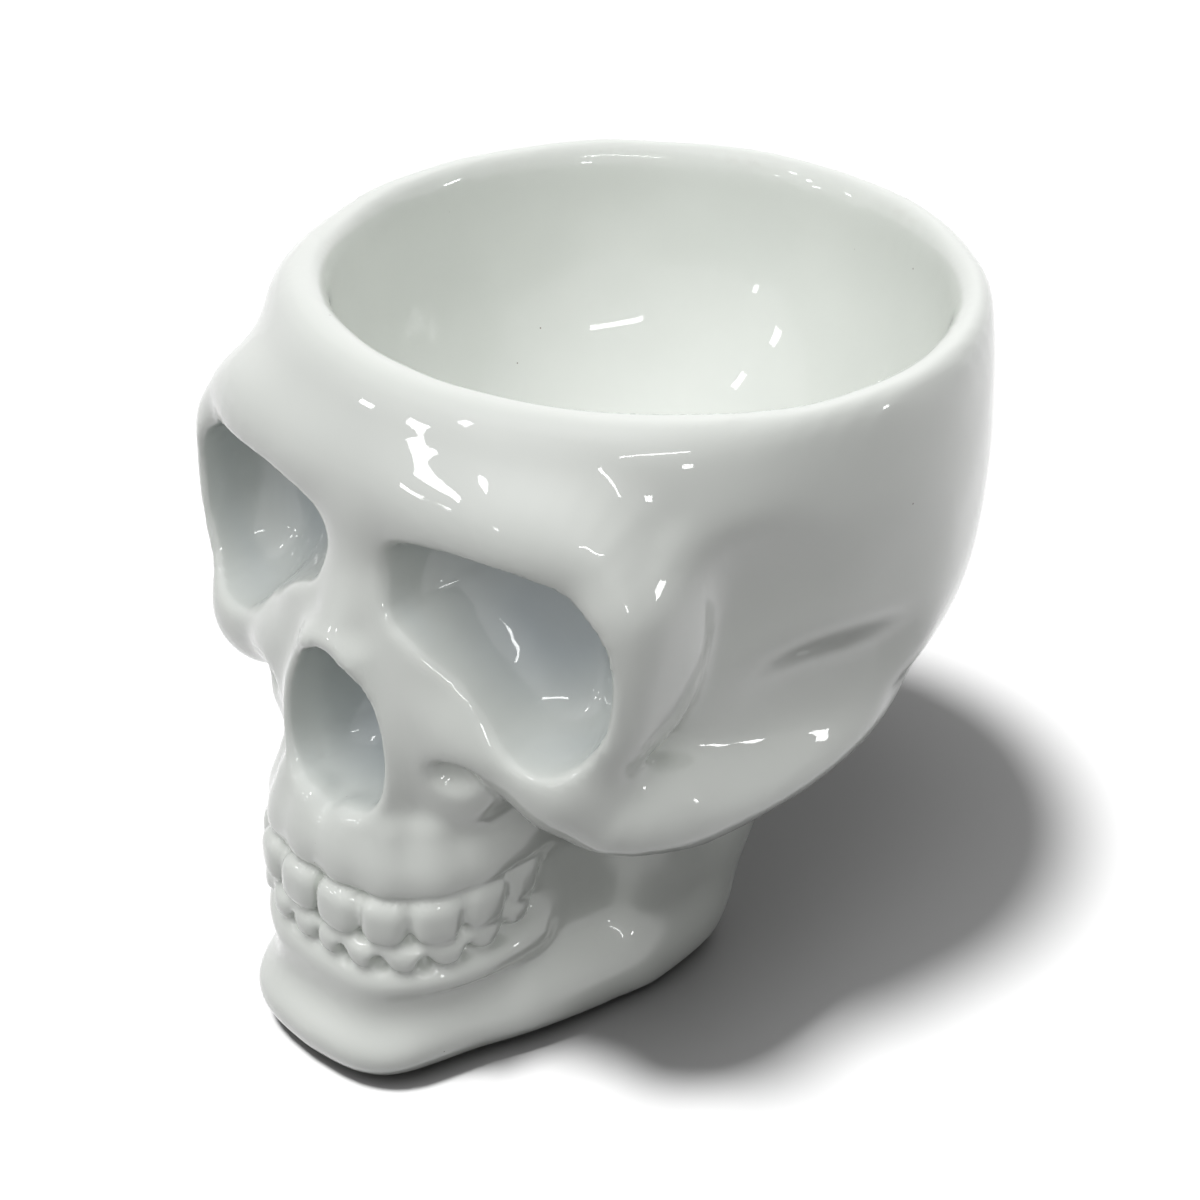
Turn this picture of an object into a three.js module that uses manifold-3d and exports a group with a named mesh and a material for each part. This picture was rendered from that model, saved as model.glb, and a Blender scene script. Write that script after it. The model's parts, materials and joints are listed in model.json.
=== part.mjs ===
// A skull-shaped bowl in white glazed ceramic, slip-cast hollow, standing on its own jaw.
// Millimetres, +Z up. The face looks along -Y and the open cranium is the bowl.
import * as THREE from "three";
import { mergeVertices } from "three/addons/utils/BufferGeometryUtils.js";
import { edgeTable, triTable } from "three/addons/objects/MarchingCubes.js";
import Module from "manifold-3d";

// The cranium: an egg round the bowl, cut off level at the rim
const rim_height = 123;
const cranium_half_width = 58.3;
const cranium_half_length = 62.2;
const cranium_equator_height = 86;
const cranium_upper_reach = 92;
const cranium_lower_reach = 49.5;
const cranium_setback = 3.2;
const rim_rounding = 5.5;
const forehead_half_width = 49;
const forehead_half_length = 38;
const forehead_half_height = 31;

// The face: its tables of places are shares of these three
const face_half_width = 50;
const face_reach = 80;
const face_height = 100;

// Ridges and masses of the face, as thicknesses of clay
const orbit_half_width = 21;
const orbit_half_length = 17;
const orbit_half_height = 19;
const brow_radius = 7;
const orbit_side_radius = 5;
const cheekbone_radius = 8.5;
const cheek_front_radius = 5.6;
const nose_side_half_width = 11.5;
const nose_side_half_length = 10;
const nose_side_half_height = 16;
const nose_bridge_radius = 5;
const nose_rim_radius = 3.6;
const mid_face_half_width = 24.5;
const mid_face_half_length = 26;
const mid_face_half_height = 26;
const gum_radius = 4.6;
const gum_height = 42.5;
const mouth_core_half_width = 20;
const mouth_core_half_length = 31;
const mouth_core_half_height = 24;
const jaw_radius = 8.4;
const chin_half_width = 18;
const chin_half_length = 12.6;
const chin_half_height = 10.8;
const ramus_half_width = 6.5;
const ramus_half_length = 14.5;
const ramus_half_height = 38;
const ramus_edge_radius = 7;
const neck_half_width = 25;
const neck_half_length = 28;
const neck_half_height = 40;
const jaw_ledge_radius = 4.4;
const jaw_ledge_height = 16.5;

// Hollows pressed into the face
const socket_depth = 16.5;
const socket_lip_rounding = 0.6;
const nose_depth = 16;
const nose_lip_rounding = 0.4;
const temple_half_depth = 9.5;
const temple_half_length = 22;
const temple_half_height = 20;
const rear_temple_half_depth = 7;
const rear_temple_half_length = 26;
const rear_temple_half_height = 18;
const under_cheek_half_width = 13;
const under_cheek_half_length = 11;
const under_cheek_half_height = 14;
const cheek_dimple_half_width = 6.5;
const cheek_dimple_half_length = 7;
const cheek_dimple_half_height = 4.6;
const lip_hollow_radius = 3.8;

// Teeth, on a horseshoe line from the front to the last molar
const tooth_line_reach = 72.4;
const tooth_line_half_width = 20.3;
const tooth_line_back = 46;
const tooth_thickness = 7.6;
const tooth_rise = 0.11;
const upper_tooth_width = 8;
const upper_tooth_length = 10;
const upper_tooth_height = 33.7;
const lower_tooth_width = 6.4;
const lower_tooth_length = 6.6;
const lower_tooth_height = 25.8;

// How softly neighbouring masses run into each other
const broad_blend = 9;
const soft_blend = 6;
const close_blend = 4;
const midline_softness = 1.2;

// The bowl, its wall and the hollow of the casting
const bowl_half_width = 49;
const bowl_half_length = 52.5;
const bowl_depth = 55;
const bowl_setback = 1;
const bowl_shoulder_height = 118;
const liner_wall = 2.8;
const shell_wall = 5;
const pit_backing = 8;
const seam_gap = 0.3;

// Underside: vent with its stopper, and four pads
const pad_thickness = 1.5;
const pad_radius = 4;
const vent_radius = 8;
const vent_reach = 32;
const vent_recess_radius = 11;
const vent_recess_depth = 1.8;
const stopper_flange_thickness = 1.3;
const stopper_length = 9;
const stopper_taper = 0.5;
const running_gap = 0.3;
const cut_overrun = 4;

// Places on the face, right half: shares of half width outwards, of reach forwards, of height upwards
const forehead_shares = [0, 0.31, 1.06];
const orbit_shares = [0.47, 0.57, 0.86];
const brow_shares = [[0, 0.725, 1.05], [0.26, 0.731, 1.05], [0.52, 0.71, 1.06], [0.71, 0.665, 1.04],
  [0.8, 0.64, 0.97]];
const brow_radius_shares = [1, 1, 1, 0.86, 0.74];
const orbit_side_shares = [[0.81, 0.655, 0.97], [0.83, 0.66, 0.86], [0.79, 0.65, 0.755], [0.66, 0.65, 0.665]];
const orbit_side_radius_shares = [0.9, 0.95, 1.2, 1.4];
const cheekbone_shares = [[0.66, 0.65, 0.63], [0.8, 0.575, 0.585], [0.88, 0.39, 0.565], [0.92, 0.1, 0.55],
  [0.885, -0.13, 0.55], [0.75, -0.29, 0.57]];
const cheekbone_radius_shares = [1, 1, 1, 0.91, 0.8, 0.58];
const mid_face_shares = [0, 0.55, 0.56];
const cheek_front_shares = [[0.18, 0.77, 0.75], [0.42, 0.738, 0.69], [0.68, 0.675, 0.665]];
const cheek_front_radius_shares = [0.85, 0.94, 1.07];
const nose_side_shares = [0.24, 0.665, 0.7];
const nose_bridge_shares = [[0, 0.74, 0.98], [0, 0.794, 0.88], [0, 0.844, 0.81]];
const nose_bridge_radius_shares = [1.2, 1.05, 0.9];
const nose_rim_shares = [[0.07, 0.863, 0.785], [0.15, 0.856, 0.69], [0.17, 0.85, 0.59], [0.13, 0.831, 0.5],
  [0, 0.838, 0.47]];
const nose_rim_radius_shares = [0.9, 0.95, 1, 1.15, 1.25];
const mouth_core_shares = [0, 0.5, 0.2];
const jaw_shares = [[0, 0.835, 0.09], [0.16, 0.81, 0.087], [0.3, 0.7, 0.083], [0.42, 0.537, 0.078],
  [0.49, 0.338, 0.07], [0.49, 0.17, 0.07], [0.455, 0.1, 0.08]];
const jaw_radius_shares = [1.04, 1.02, 0.96, 0.95, 0.95, 0.95, 0.9];
const chin_shares = [0, 0.825, 0.1];
const ramus_shares = [0.52, 0.17, 0.32];
const ramus_edge_shares = [[0.48, 0.09, 0.12], [0.53, 0.03, 0.26], [0.57, -0.04, 0.42]];
const ramus_edge_radius_shares = [0.93, 1, 1];
const neck_shares = [0, 0.325, 0.36];
const temple_shares = [1.11, 0.41, 0.85];
const rear_temple_shares = [1.25, 0.19, 0.79];
const under_cheek_shares = [0.78, 0.575, 0.38];
const cheek_dimple_shares = [0.42, 0.88, 0.645];
const lip_hollow_shares = [[0, 1.04, 0.16], [0.24, 1.025, 0.16], [0.42, 0.9, 0.16], [0.54, 0.7, 0.17]];
const lip_hollow_radius_shares = [1, 1, 0.95, 0.84];

// Turns about the vertical as shares of half a turn
const temple_turn_share = -0.16;
const rear_temple_turn_share = -0.064;

// Outlines of the sockets and the nose, seen from the front: shares of half width and of height
const socket_outline_shares = [[0.14, 0.975], [0.28, 1.018], [0.55, 1.03], [0.72, 1.004], [0.84, 0.95],
  [0.875, 0.865], [0.85, 0.775], [0.74, 0.7], [0.58, 0.7], [0.42, 0.78], [0.28, 0.835], [0.15, 0.88]];
const socket_front_share = 0.8;
const socket_lean_shares = [-0.06, -0.14];
const socket_slant_share = 0.28;
const nose_outline_shares = [[0, 0.805], [0.08, 0.785], [0.146, 0.745], [0.192, 0.69], [0.208, 0.625],
  [0.196, 0.565], [0.14, 0.523], [0.06, 0.506], [-0.06, 0.506], [-0.14, 0.523], [-0.196, 0.565],
  [-0.208, 0.625], [-0.192, 0.69], [-0.146, 0.745], [-0.08, 0.785]];
const nose_front_share = 0.9;
const nose_lean_shares = [0, 0.05];
const nose_slant_share = 0;

// A pit from its mouth to its rounded floor: shares of its outline, and of its depth
const socket_section_shares = [[1.1, -0.8], [1, 0], [0.93, 0.27], [0.76, 0.63], [0.63, 0.76], [0.42, 0.88],
  [0.2, 0.95]];
const nose_section_shares = [[1.1, -0.8], [1, 0], [0.84, 0.38], [0.62, 0.71], [0.42, 0.84], [0.2, 0.93]];

// Teeth from the middle outwards, as shares of the common width
const upper_tooth_width_shares = [1.04, 0.94, 1, 1.02, 0.98];
const lower_tooth_width_shares = [0.9, 0.94, 1.03, 1.03, 1.03, 1.12];
const tooth_line_squareness_share = 0.7;
const tooth_swell_share = 0.52;
const upper_tooth_taper_share = 0.06;
const lower_tooth_taper_share = 0.24;
const gum_line_inset_shares = [0.955, 0.9, 1];
const jaw_ledge_line_shares = [0.96, 0.98, 1];

// Powers of the rounded masses: 2 is a plain ellipsoid and more is boxier
const egg_upper_power = 2.2;
const egg_lower_power = 2.5;
const egg_back_power = 2.02;
const core_power = 3.4;
const chin_power = 2.6;
const ramus_power = 3.2;
const upper_tooth_power = 3.4;
const lower_tooth_power = 3;
const egg_back_lean_share = 0.06;

// Pads under the chin and the two jaw angles: shares of half width and of reach
const pad_place_shares = [[0.17, 0.82], [-0.17, 0.82], [0.49, 0.1], [-0.49, 0.1]];

const glaze = { color: "#d9dad8", roughness: 0.12, metalness: 0 };
const liner_glaze = { color: "#dfe2e0", roughness: 0.12, metalness: 0 };
const silicone = { color: "#b9b8b4", roughness: 0.6, metalness: 0 };
const felt = { color: "#8d8a86", roughness: 0.95, metalness: 0 };

const wasm = await Module();
wasm.setup();

// The clay: a field of signed distances, negative inside

function softMin(a, b, blend) {
  const near = Math.max(blend - Math.abs(a - b), 0) / blend;
  return Math.min(a, b) - (near * near * blend) / 4;
}

const softMax = (a, b, blend) => -softMin(-a, -b, blend);

// The face is the same on both sides, and this keeps its middle smooth.
const outward = (x) => Math.hypot(x, midline_softness);

const place = ([across, forward, up]) => [
  across * face_half_width,
  -forward * face_reach,
  up * face_height,
];

// Distance to a rounded mass, from how far out a point lies in it and its place as shares of the half sizes
function distanceFrom(shape, shares, halves) {
  const out = Math.hypot(...shares);
  const slope = Math.hypot(...shares.map((share, axis) => share / halves[axis]));
  return out > 0 ? ((shape - 1) * out) / slope : -Math.min(...halves);
}

// A rounded mass at a place of the face, with its three half sizes, turned about the vertical
function blobOf(shares, half_width, half_length, half_height, power = 2, turn_share = 0) {
  const centre = place(shares);
  const halves = [half_width, half_length, half_height];
  const [cos, sin] = [Math.cos(turn_share * Math.PI), Math.sin(turn_share * Math.PI)];
  return (x, y, z) => {
    const [dx, dy, dz] = [x - centre[0], y - centre[1], z - centre[2]];
    const [u, v, w] = [
      (dx * cos + dy * sin) / half_width,
      (dy * cos - dx * sin) / half_length,
      dz / half_height,
    ];
    const shape = (Math.abs(u) ** power + Math.abs(v) ** power + Math.abs(w) ** power) ** (1 / power);
    return distanceFrom(shape, [u, v, w], halves);
  };
}

// A smooth line through points of any number of measures, with more of them between each two
const line_parts = 3;
function smoothLine(points) {
  const beyond = (end, next) => end.map((v, axis) => 2 * v - next[axis]);
  const last = points.length - 1;
  const line = [beyond(points[0], points[1]), ...points, beyond(points[last], points[last - 1])];
  const made = [];
  for (let i = 0; i < last; i++)
    for (let part = 0; part < line_parts; part++) {
      const t = part / line_parts;
      const [a, b, c, d] = line.slice(i, i + 4);
      made.push(b.map((v, axis) => {
        const [p, q, r] = [a[axis], c[axis], d[axis]];
        const slope = (q - p) * t;
        const bend = (2 * p - 5 * v + 4 * q - r) * t ** 2 + (3 * v - p - 3 * q + r) * t ** 3;
        return v + (slope + bend) / 2;
      }));
    }
  return [...made, points[last]];
}

// A round limb of changing thickness along a smooth line of places
function limb(places, radii) {
  const points = smoothLine(places.map((p, i) => [...p, radii[i]]));
  return (x, y, z) => {
    let nearest = Infinity;
    for (let i = 1; i < points.length; i++) {
      const [a, b] = [points[i - 1], points[i]];
      const along = [b[0] - a[0], b[1] - a[1], b[2] - a[2]];
      const from = [x - a[0], y - a[1], z - a[2]];
      const length2 = along[0] ** 2 + along[1] ** 2 + along[2] ** 2;
      const raw = (from[0] * along[0] + from[1] * along[1] + from[2] * along[2]) / length2;
      const t = Math.min(Math.max(raw, 0), 1);
      const off = Math.hypot(from[0] - t * along[0], from[1] - t * along[1], from[2] - t * along[2]);
      nearest = Math.min(nearest, off - a[3] - t * (b[3] - a[3]));
    }
    return nearest;
  };
}

// Distance to a closed outline in X and Z, negative inside
function outlineDistance(points) {
  return (x, z) => {
    let nearest = Infinity;
    let side = 1;
    points.forEach(([ax, az], i) => {
      const [bx, bz] = points[(i + points.length - 1) % points.length];
      const [ex, ez, wx, wz] = [bx - ax, bz - az, x - ax, z - az];
      const t = Math.min(Math.max((wx * ex + wz * ez) / (ex * ex + ez * ez), 0), 1);
      nearest = Math.min(nearest, Math.hypot(wx - ex * t, wz - ez * t));
      const above = z >= az;
      const below = z < bz;
      const left = ex * wz > ez * wx;
      if ((above && below && left) || (!above && !below && !left)) side = -side;
    });
    return side * nearest;
  };
}

// The outline of a pit's mouth as a smooth closed ring of points in X and Z
function mouthRing(outline_shares, rounding) {
  const corners = outline_shares.map(([across, up]) => [across * face_half_width, up * face_height]);
  const middle = [0, 1].map((axis) => corners.reduce((sum, p) => sum + p[axis], 0) / corners.length);
  const pushed = corners.map(([x, z]) => {
    const out = Math.hypot(x - middle[0], z - middle[1]);
    const grow = 1 + rounding / out;
    return new THREE.Vector3(middle[0] + (x - middle[0]) * grow, 0, middle[1] + (z - middle[1]) * grow);
  });
  const ring = new THREE.CatmullRomCurve3(pushed, true).getSpacedPoints(pit_facets).slice(1);
  return { middle, ring: ring.map((p) => [p.x, p.z]) };
}

// A pit sunk into the face: its rings shrink and lean as they go down to a rounded floor.
function pitSolid({ middle, ring, front_share, depth, section_shares, lean_shares, slant_share }, side = 1) {
  const rings = section_shares.map(([size_share, depth_share]) => {
    const sunk = depth_share * depth;
    const lean = lean_shares.map((share) => share * Math.max(sunk, 0));
    return ring.map(([x, z]) => {
      const across = (x - middle[0]) * size_share + lean[0];
      return [
        side * (middle[0] + across),
        sunk - front_share * face_reach + slant_share * across,
        middle[1] + (z - middle[1]) * size_share + lean[1],
      ];
    });
  });
  const ends = [rings[0], rings[rings.length - 1]].map((r) =>
    [0, 1, 2].map((axis) => r.reduce((sum, p) => sum + p[axis], 0) / r.length));
  ends[1][1] += (depth * (1 - section_shares[rings.length - 1][1])) / 2;
  const vertices = [...rings.flat(), ...ends];
  const count = ring.length;
  const [top, bottom] = [vertices.length - 2, vertices.length - 1];
  const triangles = [];
  for (let i = 0; i < count; i++) {
    const next = (i + 1) % count;
    triangles.push(top, next, i);
    for (let r = 0; r + 1 < rings.length; r++) {
      const [a, b, c, d] = [r * count + i, r * count + next, (r + 1) * count + i, (r + 1) * count + next];
      triangles.push(a, b, d, a, d, c);
    }
    const last = (rings.length - 1) * count;
    triangles.push(bottom, last + i, last + next);
  }
  return solid(new Float32Array(vertices.flat()), new Uint32Array(triangles));
}

// The same pit as a distance, for keeping the hollow of the casting away from it
function pitDistance({ middle, ring, front_share, depth, lean_shares, slant_share }) {
  const distance = outlineDistance(ring);
  return (x, y, z) => {
    const sunk = y + front_share * face_reach - slant_share * (x - middle[0]);
    const [leanX, leanZ] = lean_shares.map((share) => share * Math.max(sunk, 0));
    return Math.max(distance(x - leanX, z - leanZ), sunk - depth);
  };
}

const scaled = (size, shares) => shares.map((share) => size * share);
const places = (shares) => shares.map(place);

// The egg of the cranium leans forwards as it rises past its equator.
function cranium(x, y, z) {
  const rise = z - cranium_equator_height;
  const upper = rise > 0;
  const power = upper ? egg_upper_power : egg_lower_power;
  const reach = upper ? cranium_upper_reach : cranium_lower_reach;
  const centre = cranium_setback - egg_back_lean_share * Math.max(rise, 0);
  const [u, v, w] = [x / cranium_half_width, (y - centre) / cranium_half_length, Math.abs(rise) / reach];
  const level = v > 0 ? egg_back_power : 2;
  const ring = (Math.abs(u) ** level + Math.abs(v) ** level) ** (1 / level);
  const shape = (ring ** power + w ** power) ** (1 / power);
  return distanceFrom(shape, [u, v, w], [cranium_half_width, cranium_half_length, reach]);
}

// A horseshoe line through the teeth: from the middle of the front to the back on one side
function horseshoe(reach, half_width, back) {
  return (t) => {
    const turn = (t * Math.PI) / 2;
    const across = Math.sin(turn) ** tooth_line_squareness_share;
    const forward = Math.cos(turn) ** tooth_line_squareness_share;
    return [half_width * across, -back - (reach - back) * forward];
  };
}

const line_steps = 400;
const toothLine = horseshoe(tooth_line_reach, tooth_line_half_width, tooth_line_back);

function lineAlong(line) {
  const points = Array.from({ length: line_steps + 1 }, (_, i) => line(i / line_steps));
  const run = [0];
  for (let i = 1; i <= line_steps; i++)
    run.push(run[i - 1] + Math.hypot(points[i][0] - points[i - 1][0], points[i][1] - points[i - 1][1]));
  return (distance) => {
    const i = Math.min(run.findIndex((r) => r >= distance) + 1, line_steps) || line_steps;
    const [from, at] = [points[i - 1], points[i]];
    return { at, turn: Math.atan2(at[1] - from[1], at[0] - from[0]) };
  };
}

function teeth(width, width_shares, length, height, power, taper_share) {
  const along = lineAlong(toothLine);
  let run = 0;
  return width_shares.map((share, i) => {
    const own_width = width * share;
    const { at, turn } = along(run + own_width / 2);
    run += own_width;
    const halves = [own_width * tooth_swell_share, tooth_thickness / 2, length / 2];
    return { at: [at[0], at[1], height + tooth_rise * i * i], turn, halves, power, taper_share };
  });
}

// A tooth as a sphere squared up by its power and tapered, on either side of the mouth
function toothSolid({ at, turn, halves, power, taper_share }, side) {
  const geometry = new THREE.SphereGeometry(1, tooth_facets, tooth_rings);
  const points = geometry.attributes.position;
  for (let i = 0; i < points.count; i++) {
    const p = [points.getX(i), points.getY(i), points.getZ(i)];
    const size = p.reduce((sum, v) => sum + Math.abs(v) ** power, 0) ** (1 / power);
    const [u, v, w] = p.map((q) => q / size);
    points.setXYZ(i, u * (1 + taper_share * v), v, w);
  }
  geometry.rotateX(Math.PI / 2).scale(...halves).rotateZ(side * turn).translate(side * at[0], at[1], at[2]);
  return solidOf(geometry);
}

const horseshoe_parts = 6;
function horseshoeLimb(line_shares, height, radius) {
  const line = horseshoe(
    tooth_line_reach * line_shares[0],
    tooth_line_half_width * line_shares[1],
    tooth_line_back * line_shares[2],
  );
  const at = (i) => [...line(i / horseshoe_parts), height];
  const points = Array.from({ length: horseshoe_parts + 1 }, (_, i) => at(i));
  return limb(points, points.map(() => radius));
}

const pit_facets = 22;
const tooth_facets = 8;
const tooth_rings = 6;
const socket = {
  ...mouthRing(socket_outline_shares, socket_lip_rounding),
  front_share: socket_front_share,
  depth: socket_depth,
  section_shares: socket_section_shares,
  lean_shares: socket_lean_shares,
  slant_share: socket_slant_share,
};
const nose = {
  ...mouthRing(nose_outline_shares, nose_lip_rounding),
  front_share: nose_front_share,
  depth: nose_depth,
  section_shares: nose_section_shares,
  lean_shares: nose_lean_shares,
  slant_share: nose_slant_share,
};
const socketDistance = pitDistance(socket);
const noseDistance = pitDistance(nose);

const mass = (shape, blend) => [softMin, shape, blend];
const press = (shape, blend) => [(clay, hollow, soft) => softMax(clay, -hollow, soft), shape, blend];

// The order in which clay is laid on and pressed in
const modelling = [
  mass(blobOf(forehead_shares, forehead_half_width, forehead_half_length, forehead_half_height), broad_blend),
  mass(blobOf(mid_face_shares, mid_face_half_width, mid_face_half_length, mid_face_half_height), broad_blend),
  press(
    blobOf(temple_shares, temple_half_depth, temple_half_length, temple_half_height, 2, temple_turn_share),
    soft_blend,
  ),
  press(
    blobOf(
      rear_temple_shares,
      rear_temple_half_depth,
      rear_temple_half_length,
      rear_temple_half_height,
      2,
      rear_temple_turn_share,
    ),
    broad_blend,
  ),
  mass(limb(places(cheekbone_shares), scaled(cheekbone_radius, cheekbone_radius_shares)), close_blend),
  mass(blobOf(orbit_shares, orbit_half_width, orbit_half_length, orbit_half_height), soft_blend),
  mass(limb(places(brow_shares), scaled(brow_radius, brow_radius_shares)), broad_blend),
  mass(limb(places(orbit_side_shares), scaled(orbit_side_radius, orbit_side_radius_shares)), soft_blend),
  mass(limb(places(cheek_front_shares), scaled(cheek_front_radius, cheek_front_radius_shares)), soft_blend),
  mass(
    blobOf(nose_side_shares, nose_side_half_width, nose_side_half_length, nose_side_half_height),
    broad_blend,
  ),
  mass(limb(places(nose_bridge_shares), scaled(nose_bridge_radius, nose_bridge_radius_shares)), soft_blend),
  mass(limb(places(nose_rim_shares), scaled(nose_rim_radius, nose_rim_radius_shares)), close_blend),
  mass(horseshoeLimb(gum_line_inset_shares, gum_height, gum_radius), broad_blend),
  mass(
    blobOf(
      mouth_core_shares,
      mouth_core_half_width,
      mouth_core_half_length,
      mouth_core_half_height,
      core_power,
    ),
    soft_blend,
  ),
  mass(horseshoeLimb(jaw_ledge_line_shares, jaw_ledge_height, jaw_ledge_radius), close_blend),
  mass(limb(places(jaw_shares), scaled(jaw_radius, jaw_radius_shares)), soft_blend),
  mass(blobOf(chin_shares, chin_half_width, chin_half_length, chin_half_height, chin_power), soft_blend),
  mass(blobOf(ramus_shares, ramus_half_width, ramus_half_length, ramus_half_height, ramus_power), soft_blend),
  mass(blobOf(neck_shares, neck_half_width, neck_half_length, neck_half_height), broad_blend),
  mass(limb(places(ramus_edge_shares), scaled(ramus_edge_radius, ramus_edge_radius_shares)), soft_blend),
  press(
    blobOf(under_cheek_shares, under_cheek_half_width, under_cheek_half_length, under_cheek_half_height),
    soft_blend,
  ),
  press(
    blobOf(cheek_dimple_shares, cheek_dimple_half_width, cheek_dimple_half_length, cheek_dimple_half_height),
    soft_blend,
  ),
  press(limb(places(lip_hollow_shares), scaled(lip_hollow_radius, lip_hollow_radius_shares)), soft_blend),
];

const allTeeth = [
  ...teeth(
    upper_tooth_width,
    upper_tooth_width_shares,
    upper_tooth_length,
    upper_tooth_height,
    upper_tooth_power,
    upper_tooth_taper_share,
  ),
  ...teeth(
    lower_tooth_width,
    lower_tooth_width_shares,
    lower_tooth_length,
    lower_tooth_height,
    lower_tooth_power,
    lower_tooth_taper_share,
  ),
];

function skull(x, y, z) {
  const side = outward(x);
  const clay = modelling.reduce(
    (made, [joined, shape, blend]) => joined(made, shape(side, y, z), blend),
    cranium(x, y, z),
  );
  return Math.max(softMax(clay, z - rim_height, rim_rounding), -cut_overrun - z);
}

// The hollow of the casting keeps a wall to the skin and the flat base, and a thicker one to the pits.
function cavity(x, y, z) {
  const pits = Math.min(socketDistance(outward(x), y, z), noseDistance(x, y, z));
  return Math.max(skull(x, y, z) + shell_wall, pit_backing - pits, pad_thickness + shell_wall - z);
}

// Grid lines: each stretch runs to a share of its reach in a number of steps
const gridLine = (start, stretches) => {
  const line = [start];
  for (const [end, steps] of stretches) {
    const from = line[line.length - 1];
    for (let i = 1; i <= steps; i++) line.push(from + ((end - from) * i) / steps);
  }
  return line;
};

const widest = Math.max(cranium_half_width, face_half_width) + cut_overrun;
const farthest = cranium_half_length + cranium_setback + cut_overrun;
const frontmost = -face_reach - cut_overrun * 2;
const inner_face_share = 0.54;
const outer_face_share = 0.92;
const front_share = 0.55;
const middle_share = 0.1;
const teeth_low_share = 0.15;
const teeth_high_share = 0.44;
const brow_high_share = 1.08;

const fineGrid = [
  gridLine(-widest, [
    [-face_half_width * outer_face_share, 3],
    [-face_half_width * inner_face_share, 4],
    [face_half_width * inner_face_share, 12],
    [face_half_width * outer_face_share, 4],
    [widest, 3],
  ]),
  gridLine(frontmost, [
    [-face_reach * front_share, 11],
    [-face_reach * middle_share, 5],
    [farthest, 7],
  ]),
  gridLine(-cut_overrun * 2, [
    [face_height * teeth_low_share, 5],
    [face_height * teeth_high_share, 6],
    [face_height * brow_high_share, 13],
    [rim_height + cut_overrun, 5],
  ]),
];

const coarseGrid = [
  gridLine(-widest, [[widest, 14]]),
  gridLine(frontmost, [[farthest, 16]]),
  gridLine(-cut_overrun * 2, [[rim_height + cut_overrun, 15]]),
];

// Corners and edges of a grid cell, in the order that the case tables use
const corners = [[0, 0, 0], [1, 0, 0], [1, 1, 0], [0, 1, 0], [0, 0, 1], [1, 0, 1], [1, 1, 1], [0, 1, 1]];
const edges = [[0, 1], [1, 2], [2, 3], [3, 0], [4, 5], [5, 6], [6, 7], [7, 4], [0, 4], [1, 5], [2, 6],
  [3, 7]];
const closest_share = 0.05;
const evening_rounds = 4;
const evening_share = 0.5;
const slope_step = 0.05;
const least_slope_share = 0.5;

// The closed surface where a field crosses zero
function surfaceOf(field, [xs, ys, zs]) {
  const index = (i, j, k) => (i * ys.length + j) * zs.length + k;
  const values = new Float64Array(xs.length * ys.length * zs.length);
  xs.forEach((x, i) => ys.forEach((y, j) => zs.forEach((z, k) => {
    values[index(i, j, k)] = field(x, y, z);
  })));
  const vertices = [];
  const made = new Map();
  const triangles = [];
  const vertexOn = (a, b) => {
    const [low, high] = index(...a) < index(...b) ? [a, b] : [b, a];
    const key = index(...low) * values.length + index(...high);
    if (!made.has(key)) {
      const [va, vb] = [values[index(...low)], values[index(...high)]];
      const t = Math.min(Math.max(va / (va - vb), closest_share), 1 - closest_share);
      const [p, q] = [low, high].map(([i, j, k]) => [xs[i], ys[j], zs[k]]);
      made.set(key, vertices.length / 3);
      vertices.push(...p.map((v, axis) => v + t * (q[axis] - v)));
    }
    return made.get(key);
  };
  for (let i = 0; i + 1 < xs.length; i++)
    for (let j = 0; j + 1 < ys.length; j++)
      for (let k = 0; k + 1 < zs.length; k++) {
        const cell = corners.map(([a, b, c]) => [i + a, j + b, k + c]);
        const inside = cell.reduce((bits, c, n) => bits | ((values[index(...c)] < 0 ? 1 : 0) << n), 0);
        if (!edgeTable[inside]) continue;
        for (let n = inside * 16; triTable[n] !== -1; n += 3)
          triangles.push(...[0, 2, 1].map((m) => {
            const [a, b] = edges[triTable[n + m]];
            return vertexOn(cell[a], cell[b]);
          }));
      }
  return solid(evened(field, vertices, triangles), new Uint32Array(triangles));
}

// Evens out the triangles: each vertex moves towards its neighbours and back onto the surface.
function evened(field, vertices, triangles) {
  let points = Array.from({ length: vertices.length / 3 }, (_, i) => vertices.slice(3 * i, 3 * i + 3));
  const neighbours = points.map(() => new Set());
  for (let i = 0; i < triangles.length; i += 3)
    for (let m = 0; m < 3; m++) neighbours[triangles[i + m]].add(triangles[i + ((m + 1) % 3)]);
  for (let round = 0; round < evening_rounds; round++)
    points = points.map((p, i) => {
      const near = [...neighbours[i]];
      const mean = [0, 1, 2].map((axis) => near.reduce((sum, n) => sum + points[n][axis], 0) / near.length);
      return ontoSurface(field, p.map((v, axis) => v + evening_share * (mean[axis] - v)));
    });
  return new Float32Array(points.flat());
}

// One step down the slope of a field to where it is zero
function ontoSurface(field, [x, y, z]) {
  const value = field(x, y, z);
  const slope = [
    field(x + slope_step, y, z) - value,
    field(x, y + slope_step, z) - value,
    field(x, y, z + slope_step) - value,
  ].map((rise) => rise / slope_step);
  const steepness = Math.max(slope[0] ** 2 + slope[1] ** 2 + slope[2] ** 2, least_slope_share ** 2);
  return [x, y, z].map((v, axis) => v - (value * slope[axis]) / steepness);
}

function solid(vertProperties, triVerts) {
  const made = new wasm.Manifold(new wasm.Mesh({ numProp: 3, vertProperties, triVerts }));
  if (made.volume() > 0) return made;
  return solid(vertProperties, triVerts.slice().reverse());
}

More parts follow.
